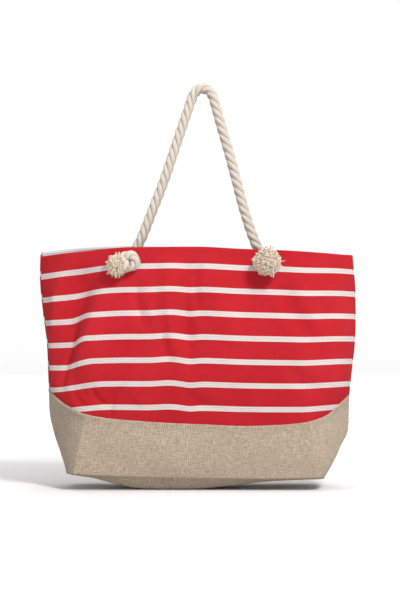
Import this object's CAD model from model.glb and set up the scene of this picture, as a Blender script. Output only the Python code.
"""Striped canvas beach bag with rope handles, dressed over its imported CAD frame."""
import math
import random

import bpy
import numpy as np
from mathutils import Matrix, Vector, noise


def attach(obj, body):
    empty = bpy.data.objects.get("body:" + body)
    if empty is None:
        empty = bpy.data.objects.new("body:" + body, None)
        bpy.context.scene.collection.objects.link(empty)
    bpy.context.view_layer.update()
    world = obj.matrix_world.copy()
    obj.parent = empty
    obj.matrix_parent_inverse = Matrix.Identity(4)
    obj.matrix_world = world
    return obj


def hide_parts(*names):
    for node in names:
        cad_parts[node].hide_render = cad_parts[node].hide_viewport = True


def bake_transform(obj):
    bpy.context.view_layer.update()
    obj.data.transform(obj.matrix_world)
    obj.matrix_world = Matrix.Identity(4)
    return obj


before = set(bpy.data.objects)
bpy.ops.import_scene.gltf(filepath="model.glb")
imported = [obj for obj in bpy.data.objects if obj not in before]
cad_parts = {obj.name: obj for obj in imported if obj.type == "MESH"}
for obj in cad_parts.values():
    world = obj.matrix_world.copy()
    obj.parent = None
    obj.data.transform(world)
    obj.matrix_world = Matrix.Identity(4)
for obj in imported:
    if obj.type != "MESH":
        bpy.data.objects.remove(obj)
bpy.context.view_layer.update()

MM = 0.001
COLLECTION = bpy.context.scene.collection


# ---- small helpers ---------------------------------------------------------------------

def smooth_curve(points):
    """Monotone cubic curve through (x, y) points, as a function that takes arrays."""
    xs = np.array([p[0] for p in points], float)
    ys = np.array([p[1] for p in points], float)
    steps = np.diff(xs)
    slopes = np.diff(ys) / steps
    tangents = np.zeros(len(xs))
    tangents[0] = slopes[0]
    tangents[-1] = slopes[-1]
    for i in range(1, len(xs) - 1):
        if slopes[i - 1] * slopes[i] > 0:
            w1 = 2 * steps[i] + steps[i - 1]
            w2 = steps[i] + 2 * steps[i - 1]
            tangents[i] = (w1 + w2) / (w1 / slopes[i - 1] + w2 / slopes[i])

    def curve(x):
        x = np.clip(np.asarray(x, float), xs[0], xs[-1])
        i = np.clip(np.searchsorted(xs, x) - 1, 0, len(steps) - 1)
        t = (x - xs[i]) / steps[i]
        a = (1 + 2 * t) * (1 - t) ** 2 * ys[i] + t * (1 - t) ** 2 * steps[i] * tangents[i]
        b = t * t * (3 - 2 * t) * ys[i + 1] + t * t * (t - 1) * steps[i] * tangents[i + 1]
        return a + b

    return curve


def smoothstep(low, high, x):
    """0 below low, 1 above high, smooth between."""
    t = np.clip((np.asarray(x, float) - low) / (high - low), 0, 1)
    return t * t * (3 - 2 * t)


def noise_at(points, scale, seed, octaves=3):
    """Smooth noise from -1 to 1 at an array of points in millimetres."""
    offset = Vector((seed * 17.3, seed * 5.1, seed * 9.7))
    flat = np.asarray(points, float).reshape(-1, 3) / scale
    values = [noise.fractal(Vector(p) + offset, 1.0, 2.0, octaves) for p in flat]
    return np.array(values).reshape(np.asarray(points).shape[:-1])


def add_mesh(name, vertices, faces, material, uvs=None, wrap=None):
    """Mesh object from vertices in millimetres, with an optional UV for each vertex.

    wrap is the length of the second UV coordinate once round a tube, so that it closes cleanly.
    """
    mesh = bpy.data.meshes.new(name)
    mesh.from_pydata((np.asarray(vertices, float) * MM).tolist(), [], [tuple(f) for f in faces])
    if uvs is not None:
        layer = mesh.uv_layers.new(name="cloth")
        corner = np.empty(len(mesh.loops), np.int32)
        mesh.loops.foreach_get("vertex_index", corner)
        values = np.asarray(uvs, float)[corner]
        if wrap is not None:
            starts = np.empty(len(mesh.polygons), np.int32)
            mesh.polygons.foreach_get("loop_start", starts)
            counts = np.diff(np.append(starts, len(corner)))
            high = np.maximum.reduceat(values[:, 1], starts)
            low = np.minimum.reduceat(values[:, 1], starts)
            across_seam = np.repeat((high - low > wrap / 2) & (counts == 4), counts)
            values[across_seam & (values[:, 1] < wrap / 2), 1] += wrap
        layer.data.foreach_set("uv", (values * MM).astype(np.float32).ravel())
    mesh.polygons.foreach_set("use_smooth", [True] * len(mesh.polygons))
    mesh.materials.append(material)
    mesh.update()
    piece = bpy.data.objects.new(name, mesh)
    COLLECTION.objects.link(piece)
    return piece


def grid_faces(rows, columns, closed=False, flip=False):
    """Quads of a grid whose vertices run along each row in turn.

    closed joins the last column to the first.
    """
    faces = []
    for r in range(rows - 1):
        for c in range(columns if closed else columns - 1):
            right = (c + 1) % columns
            quad = (r * columns + c, r * columns + right,
                    (r + 1) * columns + right, (r + 1) * columns + c)
            faces.append(quad[::-1] if flip else quad)
    return faces


def tube_faces(first, rings, sides):
    """Faces of a capped tube whose rings of vertices start at number first."""
    faces = [tuple(first + v for v in face) for face in grid_faces(rings, sides, closed=True)]
    last = first + (rings - 1) * sides
    faces.append(tuple(first + v for v in range(sides))[::-1])
    faces.append(tuple(last + v for v in range(sides)))
    return faces


def lengths_along(points):
    """Distance of each point from the first, measured along the line."""
    return np.concatenate([[0], np.cumsum(np.linalg.norm(np.diff(points, axis=0), axis=1))])


def thicken(piece, thickness):
    """Give a sheet its thickness, inwards from the surface as built, and keep it in the mesh."""
    modifier = piece.modifiers.new("thickness", "SOLIDIFY")
    modifier.thickness = thickness * MM
    modifier.offset = -1
    modifier.use_even_offset = False
    apply_modifiers(piece)


def dress(piece, node):
    """The piece rides on the bag, stands for a CAD node and takes its finish from a slot."""
    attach(piece, "bag")
    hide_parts(node)


def apply_modifiers(piece):
    """Replace a piece's mesh with its evaluated mesh."""
    bpy.context.view_layer.update()
    graph = bpy.context.evaluated_depsgraph_get()
    mesh = bpy.data.meshes.new_from_object(piece.evaluated_get(graph))
    piece.modifiers.clear()
    piece.data = mesh


# ---- materials -------------------------------------------------------------------------

class Shader:
    """A Principled material and short ways to add nodes to it."""

    def __init__(self, name, roughness=0.9):
        self.material = bpy.data.materials.new(name)
        self.material.use_nodes = True
        self.tree = self.material.node_tree
        self.shader = self.tree.nodes["Principled BSDF"]
        self.set("Roughness", roughness)
        self.set("Specular IOR Level", 0.25)

    def set(self, socket, value):
        """Put a plain value on the shader's own socket."""
        self.shader.inputs[socket].default_value = value

    def put(self, value, socket):
        """Link an output, or set a plain value, on a socket."""
        if isinstance(value, bpy.types.NodeSocket):
            self.tree.links.new(value, socket)
        else:
            socket.default_value = value

    def maths(self, operation, a, b=0.0, c=None):
        """One Math node."""
        node = self.tree.nodes.new("ShaderNodeMath")
        node.operation = operation
        self.put(a, node.inputs[0])
        self.put(b, node.inputs[1])
        if c is not None:
            self.put(c, node.inputs[2])
        return node.outputs[0]

    def times(self, a, b):
        """The product of two values."""
        return self.maths("MULTIPLY", a, b)

    def plus(self, a, b):
        """The sum of two values."""
        return self.maths("ADD", a, b)

    def cloth(self):
        """The cloth's own coordinates in millimetres: across and up."""
        node = self.tree.nodes.new("ShaderNodeUVMap")
        node.uv_map = "cloth"
        parts = self.tree.nodes.new("ShaderNodeSeparateXYZ")
        self.tree.links.new(node.outputs[0], parts.inputs[0])
        return [self.times(parts.outputs[i], 1000.0) for i in (0, 1)]

    def vector(self, x, y, z=0.0):
        """A vector from three numbers."""
        node = self.tree.nodes.new("ShaderNodeCombineXYZ")
        for value, socket in zip((x, y, z), node.inputs):
            self.put(value, socket)
        return node.outputs[0]

    def place(self):
        """The object's own coordinates, in metres."""
        return self.tree.nodes.new("ShaderNodeTexCoord").outputs["Object"]

    def noise(self, vector, scale, detail=3.0, roughness=0.6):
        """A noise value from 0 to 1."""
        node = self.tree.nodes.new("ShaderNodeTexNoise")
        self.put(vector, node.inputs["Vector"])
        node.inputs["Scale"].default_value = scale
        node.inputs["Detail"].default_value = detail
        node.inputs["Roughness"].default_value = roughness
        return node.outputs["Fac"]

    def ramp(self, value, low, high, to_low=0.0, to_high=1.0):
        """Smoothly map low..high to to_low..to_high."""
        node = self.tree.nodes.new("ShaderNodeMapRange")
        node.interpolation_type = "SMOOTHSTEP"
        for item, socket in zip((value, low, high, to_low, to_high), node.inputs):
            self.put(item, socket)
        return node.outputs[0]

    def mix(self, factor, a, b):
        """Mix two colours."""
        node = self.tree.nodes.new("ShaderNodeMix")
        node.data_type = "RGBA"
        self.put(factor, node.inputs[0])
        self.put(a, node.inputs[6])
        self.put(b, node.inputs[7])
        return node.outputs[2]

    def colour(self, value):
        """Use a colour as the base colour."""
        self.put(value, self.shader.inputs["Base Color"])

    def bump(self, height, distance, strength=1.0):
        """Use a height as the bump, distance in millimetres."""
        node = self.tree.nodes.new("ShaderNodeBump")
        node.inputs["Distance"].default_value = distance * MM
        node.inputs["Strength"].default_value = strength
        self.put(height, node.inputs["Height"])
        self.tree.links.new(node.outputs[0], self.shader.inputs["Normal"])

    def weave(self, across, up, thread):
        """Height of a plain weave of round threads, from 0 in the gaps to 1, and which set is on top."""
        half = math.pi / thread
        warp = self.maths("ABSOLUTE", self.maths("SINE", self.times(across, half)))
        weft = self.maths("ABSOLUTE", self.maths("SINE", self.times(up, half)))
        column = self.maths("FLOOR", self.maths("DIVIDE", across, thread))
        row = self.maths("FLOOR", self.maths("DIVIDE", up, thread))
        turn = self.maths("PINGPONG", self.plus(column, row), 1.0)
        over = self.times(warp, turn)
        under = self.times(weft, self.maths("SUBTRACT", 1.0, turn))
        return self.plus(over, under), turn


def srgb(red, green, blue):
    """Linear colour from screen values of 0 to 255."""
    def channel(value):
        value /= 255.0
        return value / 12.92 if value <= 0.04045 else ((value + 0.055) / 1.055) ** 2.4
    return (channel(red), channel(green), channel(blue), 1.0)


STRIPE_PITCH = 39.4
FIRST_STRIPE = 373.6
STRIPE_HALF = 4.4
CANVAS_THREAD = 0.62
BURLAP_THREAD = 1.75


def canvas_material():
    """Red cotton canvas with woven white stripes, each with faint pink lines in it."""
    s = Shader("red_striped_canvas", 0.88)
    across, up = s.cloth()
    start = s.plus(s.maths("SUBTRACT", up, FIRST_STRIPE), STRIPE_PITCH * 20.5)
    within = s.maths("SUBTRACT", s.maths("MODULO", start, STRIPE_PITCH), STRIPE_PITCH / 2)
    off_centre = s.maths("ABSOLUTE", within)
    dots = s.times(s.maths("SINE", s.times(across, 2 * math.pi / 1.7)), 0.3)
    edge = s.plus(off_centre, dots)
    white = s.ramp(edge, STRIPE_HALF - 0.25, STRIPE_HALF + 0.25, 1.0, 0.0)
    lines = s.ramp(s.maths("ABSOLUTE", s.maths("SUBTRACT", off_centre, 1.5)), 0.25, 0.75, 1.0, 0.0)
    height, _ = s.weave(across, up, CANVAS_THREAD)
    fade = s.noise(s.place(), 9.0, 4.0)
    slub = s.noise(s.vector(s.times(across, 0.05), s.times(up, 1.4)), 1.0, 2.0)
    tone = s.plus(s.times(fade, 0.6), s.times(slub, 0.4))
    red = s.mix(s.ramp(tone, 0.3, 0.7), srgb(192, 25, 36), srgb(210, 38, 49))
    red = s.mix(s.ramp(height, 0.1, 0.5, 0.4, 0.0), red, srgb(140, 10, 18))
    thread = s.mix(s.times(lines, 0.6), srgb(230, 227, 223), srgb(212, 168, 168))
    thread = s.mix(s.ramp(height, 0.1, 0.5, 0.35, 0.0), thread, srgb(190, 176, 172))
    s.colour(s.mix(white, red, thread))
    fuzz = s.noise(s.place(), 900.0, 2.0)
    s.bump(s.plus(height, s.times(fuzz, 0.5)), 0.22)
    return s.material


def burlap_material(name, shade):
    """Coarse jute in a plain weave: uneven threads, pale slubs and dark gaps; shade darkens it all."""
    s = Shader(name, 0.95)
    across, up = s.cloth()
    place = s.vector(across, up)
    wander_a = s.times(s.maths("SUBTRACT", s.noise(place, 0.09, 2.0), 0.5), 2.2)
    wander_u = s.times(s.maths("SUBTRACT", s.noise(s.vector(up, across), 0.09, 2.0), 0.5), 2.2)
    a = s.plus(across, wander_a)
    u = s.plus(up, wander_u)
    height, over = s.weave(a, u, BURLAP_THREAD)
    warp_tone = s.noise(s.vector(s.times(a, 0.57), s.times(u, 0.08)), 1.0, 3.0, 0.7)
    weft_place = s.vector(s.times(a, 0.08), s.times(u, 0.57), 7.0)
    weft_tone = s.noise(weft_place, 1.0, 3.0, 0.7)
    top = s.times(warp_tone, over)
    low = s.times(weft_tone, s.maths("SUBTRACT", 1.0, over))
    tone = s.ramp(s.plus(top, low), 0.30, 0.69)
    fibre = s.mix(tone, srgb(170, 140, 112), srgb(238, 224, 202))
    patch = s.ramp(s.noise(s.place(), 14.0, 4.0), 0.35, 0.7)
    fibre = s.mix(s.times(patch, 0.35), fibre, srgb(196, 180, 160))
    gap = s.ramp(height, 0.12, 0.55, 1.0, 0.0)
    cloth = s.mix(s.times(gap, 0.75), fibre, srgb(118, 94, 74))
    s.colour(s.mix(shade, cloth, srgb(96, 86, 76)))
    hairs = s.noise(s.place(), 1400.0, 2.0)
    s.bump(s.plus(height, s.times(hairs, 0.35)), 0.6)
    s.set("Sheen Weight", 0.08)
    return s.material


def plain_cloth_material(name, light, shade, thread, depth):
    """Plain woven cloth of one colour."""
    s = Shader(name, 0.9)
    across, up = s.cloth()
    height, _ = s.weave(across, up, thread)
    tone = s.ramp(s.noise(s.place(), 16.0, 4.0), 0.3, 0.7)
    threads = s.noise(s.vector(s.times(across, 0.9), s.times(up, 0.06)), 1.0, 2.0)
    mixed = s.mix(s.times(s.plus(tone, threads), 0.5), srgb(*shade), srgb(*light))
    s.colour(s.mix(s.ramp(height, 0.1, 0.5, 0.3, 0.0), mixed, srgb(*shade)))
    s.bump(height, depth)
    s.set("Sheen Weight", 0.1)
    return s.material


def rope_material():
    """Twisted cotton: fine yarns run along each strand, darker down in the grooves."""
    s = Shader("cotton_rope", 0.92)
    along, around = s.cloth()
    wander = s.times(s.noise(s.place(), 160.0, 2.0), 1.6)
    phase = s.plus(s.times(around, 20.0), s.times(along, 0.9))
    yarn = s.maths("SINE", s.plus(phase, wander))
    fleck = s.noise(s.vector(s.times(along, 0.12), s.times(around, 6.0)), 1.0, 3.0)
    depth = s.tree.nodes.new("ShaderNodeAttribute")
    depth.attribute_name = "groove"
    groove = s.ramp(depth.outputs["Fac"], 0.30, 0.92)
    clean = s.mix(s.ramp(fleck, 0.3, 0.7), srgb(210, 198, 183), srgb(226, 217, 206))
    clean = s.mix(s.ramp(yarn, -1.0, -0.2, 0.22, 0.0), clean, srgb(188, 170, 151))
    s.colour(s.mix(s.times(groove, 0.7), clean, srgb(176, 152, 124)))
    s.bump(s.plus(s.times(yarn, 0.5), s.noise(s.place(), 1100.0, 2.0)), 0.28)
    s.set("Sheen Weight", 0.15)
    return s.material


def yarn_material():
    """Loose cotton yarn: cream at its tips, warm and darker near the knot."""
    s = Shader("frayed_cotton", 0.95)
    along, around = s.cloth()
    tip = s.ramp(along, 0.5, 6.5)
    tone = s.ramp(s.noise(s.place(), 140.0, 3.0), 0.35, 0.68)
    warm = s.mix(tone, srgb(214, 176, 126), srgb(238, 212, 174))
    pale = s.mix(tone, srgb(248, 229, 203), srgb(254, 243, 225))
    s.colour(s.mix(tip, warm, pale))
    twist = s.maths("SINE", s.plus(s.times(along, 3.4), s.times(around, 2.0)))
    s.bump(twist, 0.3)
    return s.material


def thread_material(name, colour, dark):
    """Sewing thread with a fine twist."""
    s = Shader(name, 0.75)
    tone = s.noise(s.place(), 500.0, 2.0)
    s.colour(s.mix(tone, srgb(*dark), srgb(*colour)))
    s.bump(s.noise(s.place(), 2500.0, 1.0), 0.1)
    return s.material


def metal_material():
    """Nickel-plated eyelet with fine rubbed scratches."""
    s = Shader("nickel_eyelet", 0.35)
    s.set("Metallic", 1.0)
    wear = s.noise(s.place(), 320.0, 5.0, 0.7)
    s.colour(s.mix(s.ramp(wear, 0.35, 0.75), srgb(206, 203, 196), srgb(176, 170, 158)))
    s.put(s.ramp(wear, 0.3, 0.8, 0.24, 0.5), s.shader.inputs["Roughness"])
    s.bump(wear, 0.04)
    return s.material


def floor_material():
    """Pale seamless paper that throws less light back on the bag than the camera sees."""
    s = Shader("pale_floor", 0.9)
    path = s.tree.nodes.new("ShaderNodeLightPath")
    paper = s.mix(s.noise(s.place(), 3.0), srgb(246, 246, 246), srgb(250, 250, 250))
    s.colour(s.mix(path.outputs["Is Camera Ray"], srgb(208, 208, 208), paper))
    return s.material


# ---- camera, floor and light -----------------------------------------------------------

IMAGE_HEIGHT_M = 1.02   # what the image's height takes in, measured in the plane below
IMAGE_PLANE_Y = -0.02
CAMERA_PLACE = Vector((0.006, -3.20, 0.32))


def make_camera():
    """Level camera in front of the bag, well back from it, so that its lines stay nearly parallel."""
    data = bpy.data.cameras.new("camera")
    distance = IMAGE_PLANE_Y - CAMERA_PLACE.y
    data.lens = data.sensor_width * distance / IMAGE_HEIGHT_M
    camera = bpy.data.objects.new("camera", data)
    camera.location = CAMERA_PLACE
    camera.rotation_euler = (math.radians(90), 0, 0)
    COLLECTION.objects.link(camera)
    bpy.context.scene.camera = camera


def make_floor():
    """Floor that sweeps up into a backdrop all round, so that every view is plain."""
    flat, bend, top = 5.0, 2.0, 2.4
    bend_steps, around = 12, 96
    clearance = 0.0004
    profile = [(flat, 0.0)]
    for step in range(1, bend_steps + 1):
        angle = math.radians(90 * step / bend_steps)
        profile.append((flat + bend * math.sin(angle), bend - bend * math.cos(angle)))
    profile.append((flat + bend, top))
    vertices = []
    for radius, height in profile:
        for step in range(around):
            angle = 2 * math.pi * step / around
            vertices.append((radius * math.cos(angle) / MM, radius * math.sin(angle) / MM, height / MM))
    faces = grid_faces(len(profile), around, closed=True, flip=True)
    faces.append(tuple(range(around)))
    floor = add_mesh("floor", vertices, faces, floor_material())
    floor.location.z = -clearance


def area_light(name, place, target, size, power):
    """Soft square light pointed at a target."""
    data = bpy.data.lights.new(name, "AREA")
    data.shape = "SQUARE"
    data.size = size
    data.energy = power
    light = bpy.data.objects.new(name, data)
    light.location = place
    light.rotation_euler = (Vector(target) - Vector(place)).to_track_quat("-Z", "Y").to_euler()
    COLLECTION.objects.link(light)


def make_light():
    """White surroundings, a soft key from the upper right, one light overhead and four on the backdrop."""
    world = bpy.data.worlds.new("studio")
    world.use_nodes = True
    tree = world.node_tree
    background = tree.nodes["Background"]
    background.inputs["Color"].default_value = (1.0, 1.0, 1.0, 1.0)
    path = tree.nodes.new("ShaderNodeLightPath")
    strength = tree.nodes.new("ShaderNodeMapRange")
    strength.inputs["To Min"].default_value = 0.41
    strength.inputs["To Max"].default_value = 1.0
    tree.links.new(path.outputs["Is Camera Ray"], strength.inputs["Value"])
    tree.links.new(strength.outputs["Result"], background.inputs["Strength"])
    bpy.context.scene.world = world
    bpy.context.scene.view_settings.view_transform = "Standard"
    area_light("key", (1.3, -2.5, 2.5), (0, 0, 0.3), size=0.7, power=100)
    area_light("overhead", (0.0, 0.2, 3.6), (0, 0, 0.0), size=2.4, power=38)
    near, far = 1.8, 6.8
    for x, y in ((0, 1), (1, 0), (0, -1), (-1, 0)):
        area_light("backdrop", (x * near, y * near, 3.1), (x * far, y * far, 0.5), size=2.0, power=140)


# ---- rope ------------------------------------------------------------------------------

LAY_LENGTH = 47.0
STRAND_RADIUS = 4.35
STRAND_OFFSET = 4.15
STRANDS = 3
SWELL_START = 4
SWELL_END = 24

# Route of the front handle's rope in millimetres, knot to knot, as in the CAD model.
ROPE_ROUTE = [
    (-109.0, -52.25, 384.26),
    (-109.0, -37.45, 381.80),
    (-109.0, -23.72, 387.83),
    (-109.0, -15.53, 400.39),
    (-95.5, -14.9, 420.0),
    (-76.0, -14.0, 472.0),
    (-56.5, -13.2, 520.0),
    (-40.5, -12.3, 569.0),
    (-22.5, -11.3, 622.0),
    (-13.0, -10.6, 650.0),
    (-5.6, -9.9, 673.0),
    (4.5, -9.6, 682.0),
    (17.5, -9.6, 681.5),
    (27.2, -9.9, 672.5),
    (33.5, -10.6, 650.0),
    (41.0, -11.3, 622.0),
    (56.5, -12.3, 569.0),
    (69.5, -13.2, 520.0),
    (81.5, -14.0, 472.0),
    (99.0, -14.9, 420.0),
    (109.0, -15.53, 400.39),
    (109.0, -23.72, 387.83),
    (109.0, -37.45, 381.80),
    (109.0, -52.25, 384.26),
]


def spline_points(route):
    """Points along the smooth NURBS line of a route, in millimetres."""
    data = bpy.data.curves.new("route", "CURVE")
    data.dimensions = "3D"
    data.resolution_u = 12
    spline = data.splines.new("NURBS")
    spline.points.add(len(route) - 1)
    for point, place in zip(spline.points, route):
        point.co = (*(Vector(place) * MM), 1.0)
    spline.order_u = 3
    spline.use_endpoint_u = True
    holder = bpy.data.objects.new("route", data)
    COLLECTION.objects.link(holder)
    bpy.context.view_layer.update()
    graph = bpy.context.evaluated_depsgraph_get()
    mesh = bpy.data.meshes.new_from_object(holder.evaluated_get(graph))
    points = np.array([v.co for v in mesh.vertices], float) / MM
    bpy.data.objects.remove(holder)
    bpy.data.curves.remove(data)
    bpy.data.meshes.remove(mesh)
    return points


def even_points(points, step):
    """The same line with points an even step apart, and how far along each one is."""
    lengths = lengths_along(points)
    count = max(2, int(round(lengths[-1] / step)) + 1)
    at = np.linspace(0, lengths[-1], count)
    return np.stack([np.interp(at, lengths, points[:, i]) for i in range(3)], axis=1), at


def carried_frames(points):
    """Tangent, normal and side along a line, carried without twist."""
    tangents = np.gradient(points, axis=0)
    tangents /= np.linalg.norm(tangents, axis=1)[:, None]
    normal = np.array((0.0, 0.0, 1.0) if abs(tangents[0][2]) < 0.9 else (1.0, 0.0, 0.0))
    normals = []
    for tangent in tangents:
        normal = normal - tangent * (normal @ tangent)
        normal = normal / np.linalg.norm(normal)
        normals.append(normal)
    normals = np.array(normals)
    return tangents, normals, np.cross(tangents, normals)


def strand_tubes(points, at, lay, turn, swell, sides=14):
    """Vertices, faces, UVs and groove depth of three strands twisted round a line.

    swell is how much fatter than the rope the strands grow between SWELL_START and SWELL_END.
    """
    tangents, normals, sideways = carried_frames(points)
    vertices, faces, uvs, groove = [], [], [], []
    ring = np.linspace(math.pi, 3 * math.pi, sides, endpoint=False)
    fatness = 1.0 + swell * smoothstep(SWELL_START, SWELL_END, at)
    for strand in range(STRANDS):
        phase = turn - 2 * math.pi * at / lay + strand * 2 * math.pi / STRANDS
        outward = normals * np.cos(phase)[:, None] + sideways * np.sin(phase)[:, None]
        centre = points + outward * (STRAND_OFFSET * fatness)[:, None]
        across = np.cross(tangents, outward)
        first = len(vertices)
        for i in range(len(points)):
            for angle in ring:
                bulge = 1.0 + 0.10 * abs(math.sin(angle))
                direction = outward[i] * math.cos(angle) + across[i] * math.sin(angle) * bulge
                vertices.append(centre[i] + direction * STRAND_RADIUS * fatness[i])
                uvs.append((at[i], angle - math.pi))
                groove.append(0.5 - 0.5 * math.cos(angle))
        faces += tube_faces(first, len(points), sides)
    return vertices, faces, uvs, groove


def add_rope(name, points, material, lay=LAY_LENGTH, turn=0.0, step=1.6, swell=0.0):
    """Three-strand rope along a line, and the even points of that line."""
    even, at = even_points(points, step)
    vertices, faces, uvs, groove = strand_tubes(even, at, lay, turn, swell)
    rope = add_mesh(name, vertices, faces, material, uvs, wrap=2 * math.pi)
    attribute = rope.data.attributes.new("groove", "FLOAT", "POINT")
    attribute.data.foreach_set("value", np.array(groove, np.float32))
    return rope, even


# ---- knots and frayed ends -------------------------------------------------------------

EYELET_X = 109.0
EYELET_Z = 384.0
CREASE = 20.0
RIM = 406.0
RIM_DEPTH = 47.0
BELLY = 250.0
BELLY_DEPTH = 73.0


def eyelet_frame(front, side):
    """Place and directions at an eyelet: outer face of the wall, across, outwards and up."""
    slope = (BELLY_DEPTH - RIM_DEPTH) / (RIM - BELLY)
    depth = RIM_DEPTH + slope * (RIM - EYELET_Z)
    face = -1.0 if front else 1.0
    place = Vector((side * EYELET_X, face * depth, EYELET_Z))
    outwards = Vector((0, face, slope)).normalized()
    across = Vector((1, 0, 0))
    up = Vector((0, 0, 1)) - outwards * outwards.z
    return place, across, outwards, up.normalized()


# Each knot in its eyelet's own directions, which are across, outwards and up. The rope's turn starts
# at an angle, goes on by another, in degrees, and has a radius, a sense and a shift of its middle.
# Then come the rope's tail, and the frayed end's centre, aim, reach and count of yarns.
KNOTS = {
    "left": {
        "start": -165.0, "turn": 395.0, "radius": 9.2, "wheel": 1, "shift": (-3.8, -1.8),
        "tail": [(-14.0, 21.5, -10.0), (-20.0, 21.0, -9.0)],
        "centre": (-23.5, 19.0, -8.0), "aim": (-0.45, 0.88, 0.0), "reach": 18.0, "count": 380,
    },
    "right": {
        "start": -60.0, "turn": 400.0, "radius": 8.8, "wheel": -1, "shift": (3.0, -4.0),
        "tail": [(8.0, 24.0, -5.0), (11.0, 27.0, -4.0)],
        "centre": (10.0, 24.0, -4.0), "aim": (0.05, 1.0, 0.02), "reach": 22.4, "count": 540,
    },
}


def knot_route(front, side, word):
    """Route of the rope from the eyelet, round itself, and out to where it frays."""
    facts = KNOTS[word]
    place, across, outwards, up = eyelet_frame(front, side)
    local = [(0.0, 1.7, 0.0), (0.0, 5.0, 0.0)]
    middle, drop = facts["shift"]
    turn_start, turn_rise, steps = 10.8, 12.0, 12
    for step in range(steps + 1):
        share = step / steps
        angle = math.radians(facts["start"] + facts["wheel"] * facts["turn"] * share)
        radius = facts["radius"] * min(1.0, 0.35 + share * 3.0)
        local.append((middle + radius * math.cos(angle), turn_start + turn_rise * share,
                      radius * math.sin(angle) + drop))
    local += facts["tail"]
    return [place + across * x + outwards * y + up * z for x, y, z in local]


def yarn_line(chance, centre, direction, reach, droop):
    """Line of one curly yarn: out from the core, winding, and drifting over its neighbours."""
    helper = Vector((0, 0, 1)) if abs(direction.z) < 0.8 else Vector((1, 0, 0))
    first = direction.cross(helper).normalized()
    second = direction.cross(first)
    heading = chance.uniform(0, 2 * math.pi)
    drift = (first * math.cos(heading) + second * math.sin(heading)) * chance.uniform(2.0, 9.0)
    stray = chance.random() < 0.08
    outer = reach * (chance.uniform(1.08, 1.28) if stray else chance.uniform(0.84, 1.03))
    curl = chance.uniform(0.5, 1.2) if stray else chance.uniform(0.9, 2.4)
    winds = chance.uniform(3.0, 7.5)
    phase = chance.uniform(0, 2 * math.pi)
    core = reach * 0.42
    steps = 10
    line = []
    for step in range(steps + 1):
        t = step / steps
        wave = first * math.cos(phase + winds * t) + second * math.sin(phase + winds * t)
        radius = core + (outer - core) * math.sin(t * math.pi / 2)
        line.append(centre + direction * radius + wave * curl * min(1.0, 2 * t)
                    + drift * t * t + Vector((0, 0, -droop * t * t)))
    return np.array(line)


GOLDEN_ANGLE = 2.39996


def tuft_mesh(name, centre, aim, reach, count, wall, material, seed):
    """Ball of loose curly yarns over a matted core, fullest towards the aim and kept off the wall."""
    chance = random.Random(seed)
    aim = Vector(aim).normalized()
    helper = Vector((0, 0, 1))
    u_axis = aim.cross(helper).normalized()
    v_axis = aim.cross(u_axis)
    vertices, faces, uvs = [], [], []
    rings, around, sides = 14, 22, 6
    crowding, spread, wall_gap = 1.35, 1.72, 1.6
    for ring in range(rings + 1):
        polar = math.pi * ring / rings
        for k in range(around):
            turn = 2 * math.pi * k / around
            spot = (aim * math.cos(polar)
                    + (u_axis * math.cos(turn) + v_axis * math.sin(turn)) * math.sin(polar))
            rough = 0.66 + 0.08 * noise.noise(spot * 3.1 + Vector((seed, 0, 0)))
            vertices.append(centre + spot * reach * rough)
            uvs.append((0.0, turn))
    faces += grid_faces(rings + 1, around, closed=True)
    for number in range(count):
        share = (number + 0.5) / count
        polar = math.acos(1 - share ** crowding * spread) + chance.uniform(-0.10, 0.10)
        turn = number * GOLDEN_ANGLE + chance.uniform(-0.22, 0.22)
        direction = (aim * math.cos(polar)
                     + (u_axis * math.cos(turn) + v_axis * math.sin(turn)) * math.sin(polar)).normalized()
        points = yarn_line(chance, centre, direction, reach, chance.uniform(0.0, 2.2))
        depth = (points - np.array(wall[0])) @ np.array(wall[1])
        points += np.outer(np.clip(wall_gap - depth, 0, None), np.array(wall[1]))
        thick = chance.uniform(0.80, 1.15)
        _, normals, sideways = carried_frames(points)
        lengths = lengths_along(points)
        first = len(vertices)
        last_ring = len(points) - 1
        for i, point in enumerate(points):
            radius = thick * (0.45 if i == last_ring else 1.0 - 0.2 * i / last_ring)
            for k in range(sides):
                angle = 2 * math.pi * k / sides
                spoke = normals[i] * math.cos(angle) + sideways[i] * math.sin(angle)
                vertices.append(point + spoke * radius)
                uvs.append((lengths[i], angle))
        faces += tube_faces(first, len(points), sides)
    return add_mesh(name, vertices, faces, material, uvs, wrap=2 * math.pi)


def make_knot(front, side, materials):
    """One knot and its frayed end, outside the wall."""
    face = "front" if front else "back"
    word = "left" if side < 0 else "right"
    facts = KNOTS[word]
    place, across, outwards, up = eyelet_frame(front, side)
    points = spline_points(knot_route(front, side, word))
    knot, _ = add_rope(f"{face}_{word}_knot_rope", points, materials["rope"], lay=42.0, turn=1.0 + side,
                       step=1.3, swell=0.18)
    dress(knot, f"{face}_{word}_knot")
    x, y, z = facts["centre"]
    centre = place + across * x + outwards * y + up * z
    ax, ay, az = facts["aim"]
    aim = across * ax + outwards * ay + up * az
    seed = 11 + (2 if front else 0) + (1 if side > 0 else 0)
    tuft = tuft_mesh(f"{face}_{word}_frayed_yarns", centre, aim, facts["reach"], facts["count"],
                     (place, outwards), materials["yarn"], seed)
    dress(tuft, f"{face}_{word}_frayed_end")
    return [knot, tuft]


def make_handle(front, materials):
    """One rope handle from knot to knot, with its knots and frayed ends."""
    face = "front" if front else "back"
    flip = 1.0 if front else -1.0
    route = [(x, y * flip, z) for x, y, z in ROPE_ROUTE]
    points = spline_points(route)
    rope, even = add_rope(f"{face}_rope", points, materials["rope"], turn=0.6 if front else 2.1)
    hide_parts(f"{face}_handle_rope", f"{face}_left_rope_stub", f"{face}_right_rope_stub")
    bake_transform(rope)
    on_rope = []
    for side in (-1, 1):
        on_rope += make_knot(front, side, materials)


# ---- cloth walls -----------------------------------------------------------------------

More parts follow.
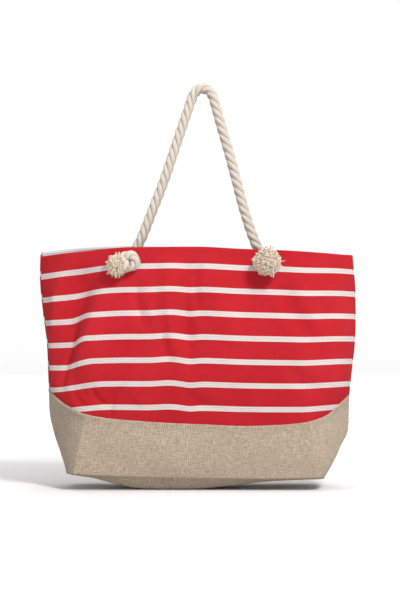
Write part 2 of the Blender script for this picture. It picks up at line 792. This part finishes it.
left_edge = smooth_curve([(18, 216), (31, 220), (97, 243), (132, 250), (170, 251), (248, 254),
                          (293, 260), (363, 266), (400, 265)])
right_edge = smooth_curve([(18, 214), (66, 242), (101, 258), (158, 260), (209, 265), (246, 269),
                           (287, 270.5), (336, 270), (375, 267), (400, 265)])
half_depth = smooth_curve([(10, 63), (60, 72), (100, 75), (180, 76), (250, 72.3), (300, 64.7),
                           (350, 56.3), (406, 47), (424, 44)])
flat_front = smooth_curve([(10, 209), (25, 207), (130, 185), (250, 168), (424, 148)])
side_strip = smooth_curve([(10, 48), (24, 46), (100, 4), (424, 3)])
front_rim = smooth_curve([(-268, 394), (-190, 402.5), (-113, 409), (0, 410), (74, 406.5),
                          (144, 404), (268, 396)])
back_rim = smooth_curve([(-268, 401), (-235, 405.5), (-190, 410.5), (-134, 413), (-60, 412),
                         (10, 407.5), (144, 403), (268, 397)])
crease_line = smooth_curve([(-218, 29), (-173, 26), (-106, 23.5), (6, 21.5), (116, 20), (214, 22)])
seam_line = smooth_curve([(-253, 171), (-231, 152), (-212, 140), (-187, 129.5), (-148, 122.5), (-104, 118.5),
                          (-43, 114.5), (6, 112.5), (80, 109.5), (142, 111.5), (178, 115), (206, 121.5),
                          (221, 127.5), (237, 141), (262, 161)])
drop_start = smooth_curve([(170, 150), (215, 170), (250, 182), (300, 172), (340, 140), (402, 105)])
drop_end = smooth_curve([(170, 252), (215, 232), (250, 222), (300, 238), (340, 256), (402, 267)])

# Folds of each wall, in wall coordinates: start and end (across, up), width, depth outwards.
FRONT_FOLDS = [
    ((-222, 232), (-236, 168), 10, -6.0),
    ((-146, 352), (-188, 232), 18, 3.0),
    ((-240, 352), (-245, 215), 14, 4.0),
    ((-208, 215), (-188, 150), 16, -5.5),
    ((-46, 392), (-44, 225), 14, 5.5),
    ((-12, 396), (-15, 215), 12, -5.5),
    ((-97, 352), (-95, 280), 9, -4.6),
    ((-78, 350), (-72, 270), 10, 2.4),
    ((4, 384), (2, 290), 8, -3.8),
    ((-52, 298), (-49, 212), 9, -4.4),
    ((-174, 176), (-150, 140), 5, -4.0),
    ((-126, 174), (-147, 122), 5, -3.6),
    ((-208, 172), (-190, 140), 6, -3.4),
    ((-108, 176), (-88, 140), 8, 2.2),
    ((30, 376), (62, 250), 24, 3.6),
    ((95, 356), (72, 226), 18, -3.0),
    ((142, 358), (198, 236), 18, -4.8),
    ((168, 350), (226, 240), 18, 3.6),
    ((150, 215), (212, 160), 14, -3.2),
    ((230, 332), (242, 200), 16, -3.4),
    ((-20, 168), (40, 132), 10, -2.6),
]
# Steps: the same four values, but the cloth keeps its new depth for a while on the left of the line.
FRONT_STEPS = [((-158, 366), (-226, 200), 21, -21.0)]
BACK_STEPS = [((-132, 366), (-196, 216), 24, -9.0)]
BACK_FOLDS = [
    ((150, 362), (212, 240), 17, -6.5),
    ((128, 350), (178, 228), 26, 4.0),
    ((-148, 360), (-200, 250), 18, -5.0),
    ((-120, 350), (-168, 240), 24, 3.2),
    ((20, 388), (28, 226), 15, -3.2),
    ((-22, 385), (-14, 240), 16, 3.0),
    ((88, 300), (72, 200), 14, -2.4),
    ((-70, 290), (-92, 190), 16, -2.4),
    ((120, 170), (74, 130), 8, -2.4),
    ((-150, 168), (-96, 130), 9, -2.2),
]
BURLAP_FOLDS = [
    ((-190, 112), (-150, 34), 16, -2.6),
    ((200, 104), (158, 30), 15, -2.6),
    ((-60, 100), (-30, 26), 22, 2.0),
    ((60, 96), (84, 26), 20, -1.8),
]


def fold_field(folds, steps, across, up):
    """Displacement outwards from lists of folds and steps at arrays of wall coordinates."""
    total = np.zeros(np.shape(across))
    for number, ((x0, z0), (x1, z1), width, depth) in enumerate(folds + steps):
        dx, dz = x1 - x0, z1 - z0
        length = math.hypot(dx, dz)
        along = ((across - x0) * dx + (up - z0) * dz) / length ** 2
        off = ((across - x0) * dz - (up - z0) * dx) / length - 5.0 * np.sin(along * math.pi * 1.3)
        if number < len(folds):
            profile = np.exp(-(off / width) ** 2)
        else:
            profile = smoothstep(-width, width, off) * (1 - smoothstep(width * 1.4, width * 3.0, off))
        ends = smoothstep(-0.22, 0.30, along) * (1 - smoothstep(0.66, 1.22, along))
        total += depth * profile * ends
    return total


def wall_points(front, share, level, outset=0.0, smooth=False):
    """Points of a wall in millimetres, the directions outwards and the place across the cloth.

    share runs from -1 at the left seam to 1 at the right one, level from CREASE to RIM.
    smooth leaves out the folds and waves.
    """
    face = -1.0 if front else 1.0
    share = np.asarray(share, float)
    level = np.asarray(level, float)
    rim = front_rim if front else back_rim

    def profile(z):
        edge = np.where(share < 0, left_edge(z), right_edge(z))
        depth = half_depth(z)
        flat = flat_front(z)
        strip = np.minimum(side_strip(z), depth - 6)
        rise = depth - strip
        run = edge - flat
        radius = (run ** 2 + rise ** 2) / (2 * rise)
        sweep = np.arctan2(run, radius - rise)
        total = flat + radius * sweep + strip
        t = np.abs(share) * total
        angle = np.clip((t - flat) / radius, 0, sweep)
        on_strip = np.clip(t - flat - radius * sweep, 0, None)
        # low down, the boxed corner pulls the round of the side into a flat facet
        taut = 0.85 * (1 - smoothstep(105, 185, z))
        along = angle / sweep
        x = np.minimum(t, flat) + radius * np.sin(angle) * (1 - taut) + run * along * taut
        y = depth - radius * (1 - np.cos(angle)) * (1 - taut) - rise * along * taut - on_strip
        facet = np.arctan2(rise, run) * smoothstep(0, 0.12, along)
        turned = np.where(on_strip > 0, math.pi / 2, angle * (1 - taut) + facet * taut)
        return np.sign(share) * x, y, turned, np.sign(share) * t

    x = profile(level)[0]
    part = (level - CREASE) / (RIM - CREASE)
    low = crease_line(x)
    z = low + (rim(x) - low) * part
    if front:
        middle = np.sin(np.pi * np.clip(part, 0, 1))
        z = z - 11.0 * smoothstep(drop_start(level), drop_end(level), -x) * middle ** 0.7
        z = z + 3.5 * smoothstep(170, 255, x) * np.minimum(1, (1 - part) * 12) * smoothstep(0, 0.2, part)
        z = z + 2.0 * np.exp(-((x + 46) / 22) ** 2) * middle - 1.8 * np.exp(-((x + 11) / 14) ** 2) * middle
    x, y, angle, across = profile(z)
    place = np.stack([x, face * y, z], axis=-1)
    outwards = np.stack([np.sign(share) * np.sin(angle), face * np.cos(angle), np.zeros_like(x)], axis=-1)
    if smooth:
        return place + outwards * outset, outwards, across
    folds = FRONT_FOLDS if front else BACK_FOLDS
    seed = 3 if front else 8
    steps = FRONT_STEPS if front else BACK_STEPS
    waves = 1.25 * fold_field(folds + BURLAP_FOLDS, steps, across, z)
    waves = waves + 1.7 * noise_at(place, 95.0, seed) + 0.5 * noise_at(place, 28.0, seed + 1)
    still = smoothstep(16, 34, np.hypot(np.abs(x) - EYELET_X, z - EYELET_Z))
    still = still * (1 - smoothstep(0.9, 1.0, np.abs(share))) * smoothstep(0, 14, z - low)
    rim_calm = 1 - 0.65 * smoothstep(RIM - 40, RIM, level)
    return place + outwards * (waves * still * rim_calm + outset)[..., None], outwards, across


def seam_level(front, share):
    """Level of the seam between canvas and burlap at arrays of shares."""
    low = np.full(np.shape(share), CREASE)
    high = np.full(np.shape(share), RIM)
    for _ in range(22):
        middle = (low + high) / 2
        place, _, _ = wall_points(front, share, middle, smooth=True)
        above = place[..., 2] > seam_line(place[..., 0])
        high = np.where(above, middle, high)
        low = np.where(above, low, middle)
    return (low + high) / 2


def panel(name, front, low, high, columns, rows, outset, thickness, material, bead=None):
    """Cloth panel of a wall between two levels, each a function of the share across."""
    share = np.linspace(-1, 1, columns)
    bottom = low(share)
    top = high(share)
    part = np.linspace(0, 1, rows)[:, None]
    level = bottom[None, :] * (1 - part) + top[None, :] * part
    wide = np.broadcast_to(share, level.shape)
    extra = outset if bead is None else outset + bead(level, top[None, :])
    place, _, across = wall_points(front, wide, level, extra)
    uvs = np.stack([across, level], axis=-1).reshape(-1, 2)
    faces = grid_faces(rows, columns, flip=not front)
    piece = add_mesh(name, place.reshape(-1, 3), faces, material, uvs)
    thicken(piece, thickness)
    return piece


def stitch_row(name, places, outwards, material, length=2.7, gap=1.2, radius=0.5, raise_by=0.15, shift=0.0):
    """Row of raised stitches along a line on the cloth, the first one a shift along it."""
    lengths = lengths_along(places)
    count = int(lengths[-1] // (length + gap))
    vertices, faces = [], []
    sides, rings = 6, 5
    for number in range(count):
        start = number * (length + gap) + gap / 2 + shift
        head, tail = (np.array([np.interp(start + d, lengths, places[:, i]) for i in range(3)])
                      for d in (0, length))
        normal = np.array([np.interp(start, lengths, outwards[:, i]) for i in range(3)])
        normal /= np.linalg.norm(normal)
        along = tail - head
        along /= np.linalg.norm(along)
        side = np.cross(along, normal)
        first = len(vertices)
        for ring in range(rings):
            t = ring / (rings - 1)
            size = radius * math.sqrt(max(0.12, math.sin(math.pi * (0.08 + 0.84 * t))))
            lift = raise_by + 0.35 * math.sin(math.pi * t) - 0.25
            centre = head * (1 - t) + tail * t + normal * lift
            for k in range(sides):
                angle = 2 * math.pi * k / sides
                vertices.append(centre + (side * math.cos(angle) + normal * math.sin(angle)) * size)
        faces += tube_faces(first, rings, sides)
    piece = add_mesh(name, vertices, faces, material)
    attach(piece, "bag")
    return piece


# Heights on the wall in millimetres: how far the canvas goes down behind the burlap, how far below
# the rim the lining ends, the facing's height, and where the stitches run below their edges. Then how
# far outwards the stitches lie, and at how many points a line of them is worked out.
CANVAS_TUCK = 8.0
LINING_DROP = 44
FACING_HEIGHT = 45
EDGE_STITCH = 3.4
RIM_STITCH = 7.0
FACING_STITCH = 41.0
SEAM_OUTSET = 1.85
FACING_OUTSET = -2.9
LINE_POINTS = 700


def make_walls(materials):
    """Canvas and burlap panels, lining, facing and their stitches, front and back."""
    def at(level):
        return lambda share: np.full(np.shape(share), float(level))

    for front in (True, False):
        face = "front" if front else "back"

        def seam(share, drop=0.0):
            return seam_level(front, share) - drop

        def burlap_bead(level, top):
            return 1.5 * smoothstep(14, 4, top - level)

        canvas = panel(f"{face}_canvas", front, lambda s: seam(s, CANVAS_TUCK), at(RIM), columns=241,
                       rows=121, outset=0.0, thickness=1.5, material=materials["canvas"])
        dress(canvas, f"{face}_canvas_panel")
        burlap = panel(f"{face}_burlap", front, at(CREASE), seam, columns=241, rows=61,
                       outset=0.15, thickness=1.5, material=materials["burlap"], bead=burlap_bead)
        dress(burlap, f"{face}_burlap_panel")
        lining = panel(f"{face}_lining", front, at(CREASE), at(RIM - LINING_DROP), columns=121,
                       rows=81, outset=-2.1, thickness=0.8, material=materials["lining"])
        dress(lining, f"{face}_lining_panel")
        facing = panel(f"{face}_facing", front, at(RIM - FACING_HEIGHT), at(RIM - 0.3), columns=181,
                       rows=15, outset=-1.75, thickness=1.0, material=materials["facing"])
        dress(facing, f"{face}_hem_facing")

        share = np.linspace(-0.985, 0.985, LINE_POINTS)
        on_seam = seam(share, EDGE_STITCH)
        rows = [
            ("rim_stitches", at(RIM - RIM_STITCH)(share), 0.1, "red_thread", canvas),
            ("seam_stitches", on_seam, SEAM_OUTSET, "pale_thread", burlap),
            ("facing_stitches", at(RIM - EDGE_STITCH)(share), FACING_OUTSET, "white_thread", facing),
            ("facing_edge_stitches", at(RIM - FACING_STITCH)(share), FACING_OUTSET, "white_thread", facing),
        ]
        groups = {canvas: [], burlap: [], facing: []}
        for name, levels, outset, thread, owner in rows:
            place, outwards, _ = wall_points(front, share, levels, outset)
            if outset < 0:
                outwards = -outwards
            groups[owner].append(stitch_row(f"{face}_{name}", place, outwards, materials[thread]))
        place, outwards, _ = wall_points(front, share, on_seam, SEAM_OUTSET)
        groups[burlap].append(stitch_row(f"{face}_needle_holes", place, outwards, materials["hole"],
                                         length=2.0, gap=1.9, radius=0.75, raise_by=-0.2, shift=1.9))


def side_seam(side, materials):
    """Narrow felled seam that closes a side, canvas above and burlap below."""
    word = "left" if side < 0 else "right"
    section = [(-3.2, 0.1), (-2.2, 1.3), (-0.7, 1.9), (0.7, 1.9),
               (2.2, 1.3), (3.2, 0.1), (1.6, -1.2), (-1.6, -1.2)]
    corners = len(section)
    beside = np.array([side * 0.999])
    split = float((seam_level(True, beside)[0] + seam_level(False, beside)[0]) / 2)
    for part, start, end, rings in (("canvas", split, RIM - 0.5, 60), ("burlap", CREASE + 3.0, split, 34)):
        levels = np.linspace(start, end, rings)
        edge = np.full(rings, float(side))
        front_edge, _, _ = wall_points(True, edge, levels)
        back_edge, _, _ = wall_points(False, edge, levels)
        middle = (front_edge + back_edge) / 2
        vertices, uvs = [], []
        for i, centre in enumerate(middle):
            for across, out in section:
                vertices.append(centre + np.array((side * out, across, 0.0)))
                uvs.append((across, levels[i]))
        faces = grid_faces(rings, corners, closed=True, flip=side > 0)
        faces.append(tuple(range(corners)) if side > 0 else tuple(range(corners))[::-1])
        last = (rings - 1) * corners
        cap = tuple(last + v for v in range(corners))
        faces.append(cap[::-1] if side > 0 else cap)
        piece = add_mesh(f"{word}_{part}_side_seam", vertices, faces, materials[part], uvs)
        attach(piece, "bag")


base_low = smooth_curve([(-218, 25), (-173, 18.5), (-136, 9), (-99, 2.2), (-62, 0.3), (-25, 0.3), (6, 1.2),
                         (43, 4), (89, 9.5), (116, 12.5), (153, 15), (214, 17)])


def base_points(x_share, y_share, lift):
    """Sagging base: level with the creases at its edges, lowest along its middle."""
    shares = np.linspace(-1, 1, 401)
    crease, _, _ = wall_points(True, shares, np.full(shares.shape, CREASE))
    x, depth, top = (np.interp(x_share, shares, crease[:, i]) for i in range(3))
    y = depth * -y_share
    sag = 1 - smoothstep(0.60, 1.0, np.abs(y_share))
    low = np.minimum(base_low(x), top)
    height = top * (1 - sag) + low * sag
    return np.stack([x, y, height + lift], axis=-1)


def make_base(materials):
    """Burlap base and its lining."""
    columns, rows = 201, 61
    x_share, y_share = np.meshgrid(np.linspace(-1, 1, columns), np.linspace(-1, 1, rows))
    for name, lift, thick, slot, node, cloth in (
            ("base_burlap", 0.0, 1.4, "burlap", "base_panel", "base"),
            ("base_lining_cloth", 2.6, 0.8, "lining", "base_lining", "lining")):
        place = base_points(x_share, y_share, lift)
        place[..., 2] += 0.35 * (1 + noise_at(place, 40.0, 21))
        uvs = place[..., :2].reshape(-1, 2)
        faces = grid_faces(rows, columns, flip=True)
        piece = add_mesh(name, place.reshape(-1, 3), faces, materials[cloth], uvs)
        thicken(piece, thick)
        dress(piece, node)


def paint_eyelets(material):
    """The CAD eyelets and washers keep their shape and get the nickel finish."""
    for name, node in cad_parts.items():
        if "eyelet" in name:
            node.data.materials.clear()
            node.data.materials.append(material)


# ---- the whole scene -------------------------------------------------------------------

make_camera()
materials = {
    "canvas": canvas_material(),
    "burlap": burlap_material("natural_burlap", 0.0),
    "base": burlap_material("base_burlap", 0.0),
    "lining": plain_cloth_material("cream_lining", (228, 222, 208), (206, 198, 180), 0.5, 0.12),
    "facing": plain_cloth_material("white_facing", (236, 236, 238), (220, 220, 222), 0.6, 0.18),
    "rope": rope_material(),
    "yarn": yarn_material(),
    "hole": thread_material("needle_hole", (98, 74, 54), (68, 50, 36)),
    "red_thread": thread_material("red_thread", (202, 34, 44), (168, 20, 28)),
    "pale_thread": thread_material("pale_thread", (246, 240, 228), (226, 216, 198)),
    "white_thread": thread_material("white_thread", (168, 166, 166), (134, 132, 132)),
}
make_handle(True, materials)
make_handle(False, materials)
make_floor()
make_light()
make_walls(materials)
for seam_side in (-1, 1):
    side_seam(seam_side, materials)
make_base(materials)
paint_eyelets(metal_material())
